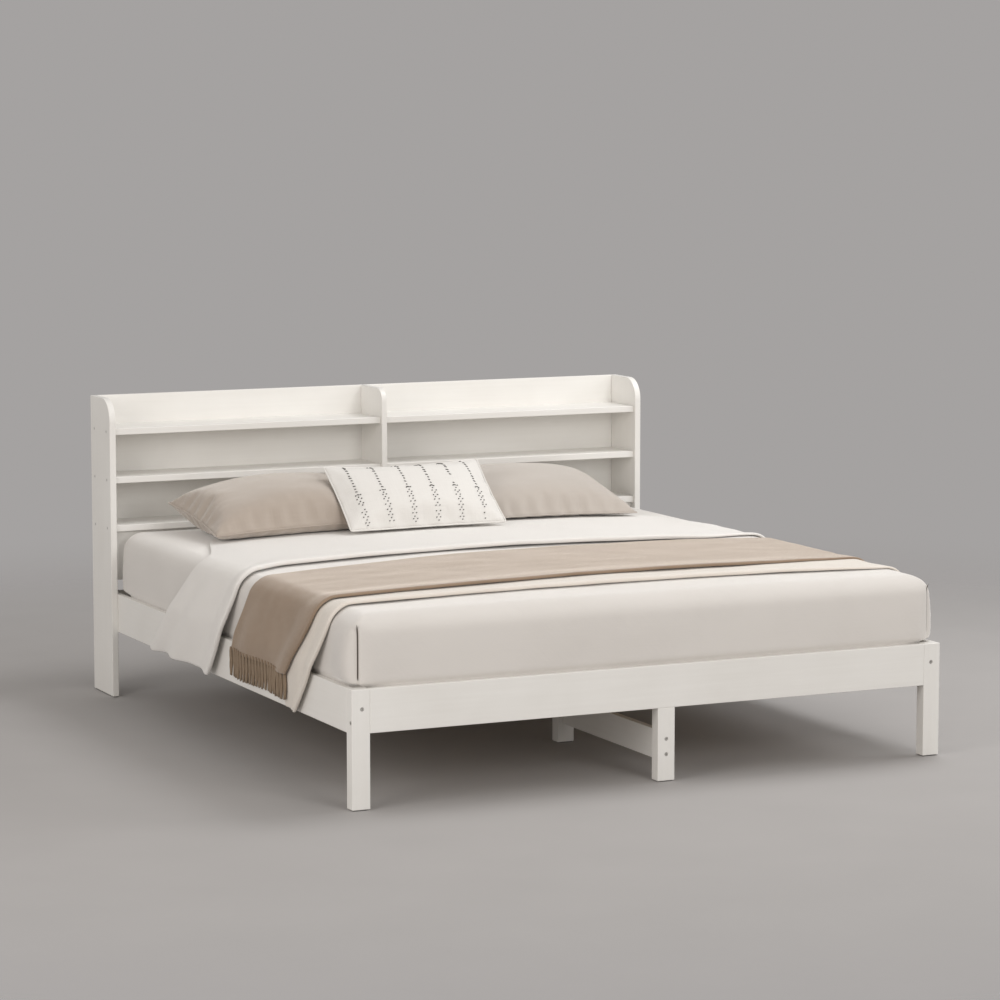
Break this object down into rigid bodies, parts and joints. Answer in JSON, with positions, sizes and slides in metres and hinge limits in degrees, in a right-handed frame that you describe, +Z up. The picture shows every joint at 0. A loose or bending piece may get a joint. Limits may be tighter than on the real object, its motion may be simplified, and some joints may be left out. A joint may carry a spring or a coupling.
{
  "type": "platform bed",
  "caption": "Platform bed with a bookcase headboard, a slatted base on rails and a centre support, made up with a mattress, sheet, blanket, fringed throw, pillows and a lumbar cushion.",
  "frame": {"origin": "on the floor, in the middle of the footprint", "axes": "+X across the bed towards its right side as seen from the foot, +Y from the foot to the head, +Z up"},
  "size_m": [2.024, 2.26, 1.02],
  "materials": {
    "painted_wood": "warm off-white satin paint",
    "bare_wood": "planed softwood, unfinished",
    "dowel_wood": "fluted hardwood, unfinished",
    "zinc_steel": "zinc plated",
    "felt": "pressed felt",
    "mattress_cover": "smooth knitted cover",
    "sheet_cotton": "plain woven cotton",
    "blanket_cotton": "soft woven cotton",
    "throw_wool": "loose twill wool",
    "fringe_yarn": "twisted yarn",
    "pillow_taupe": "woven cotton",
    "pillow_beige": "woven cotton",
    "cushion_linen": "linen with stitched dashes"
  },
  "bodies": {
    "frame": {"foot_rail": "painted_wood", "head_rail": "painted_wood", "shelf_lower": "painted_wood", "headboard_divider": "painted_wood", "headboard_fascia": "painted_wood", "foot_post_left": "painted_wood", "side_rail_left": "painted_wood", "headboard_side_left": "painted_wood", "headboard_back_left": "painted_wood", "shelf_middle_left": "painted_wood", "shelf_top_left": "painted_wood", "foot_post_right": "painted_wood", "side_rail_right": "painted_wood", "headboard_side_right": "painted_wood", "headboard_back_right": "painted_wood", "shelf_middle_right": "painted_wood", "shelf_top_right": "painted_wood", "centre_leg_foot": "painted_wood", "centre_leg_foot_inner": "painted_wood", "centre_leg_head_inner": "painted_wood", "centre_leg_head": "painted_wood", "centre_stretcher_foot": "painted_wood", "centre_stretcher_head": "painted_wood", "slat_01": "bare_wood", "slat_02": "bare_wood", "slat_03": "bare_wood", "slat_04": "bare_wood", "slat_05": "bare_wood", "slat_06": "bare_wood", "slat_07": "bare_wood", "slat_08": "bare_wood", "slat_09": "bare_wood", "slat_10": "bare_wood", "slat_11": "bare_wood", "slat_12": "bare_wood", "slat_13": "bare_wood", "centre_beam": "bare_wood", "side_ledger_left": "bare_wood", "side_ledger_right": "bare_wood", "foot_corner_bolts": "zinc_steel", "foot_corner_nuts": "zinc_steel", "head_bolts": "zinc_steel", "head_inserts": "zinc_steel", "centre_leg_bolts": "zinc_steel", "centre_leg_nuts": "zinc_steel", "slat_screws": "zinc_steel", "ledger_screws": "zinc_steel", "shelf_screws": "zinc_steel", "back_screws": "zinc_steel", "wood_dowels": "dowel_wood", "felt_pads": "felt"},
    "mattress": {"mattress": "mattress_cover", "top_sheet": "sheet_cotton", "blanket": "blanket_cotton", "throw": "throw_wool", "throw_fringe": "fringe_yarn"},
    "pillow_left": {"pillow_left": "pillow_taupe"},
    "pillow_right": {"pillow_right": "pillow_beige"},
    "lumbar_cushion": {"lumbar_cushion": "cushion_linen"}
  },
  "joints": [
    {"name": "mattress_lift", "type": "slide", "parent": "frame", "child": "mattress", "axis": [0, 0, 1], "range_m": [0, 0.4]},
    {"name": "pillow_left_slide", "type": "slide", "parent": "mattress", "child": "pillow_left", "axis": [-1, 0, 0], "range_m": [0, 0.25]},
    {"name": "pillow_right_slide", "type": "slide", "parent": "mattress", "child": "pillow_right", "axis": [1, 0, 0], "range_m": [0, 0.25]},
    {"name": "cushion_lift", "type": "slide", "parent": "mattress", "child": "lumbar_cushion", "axis": [0, -0.6157, 0.788], "range_m": [0, 0.3]}
  ]
}
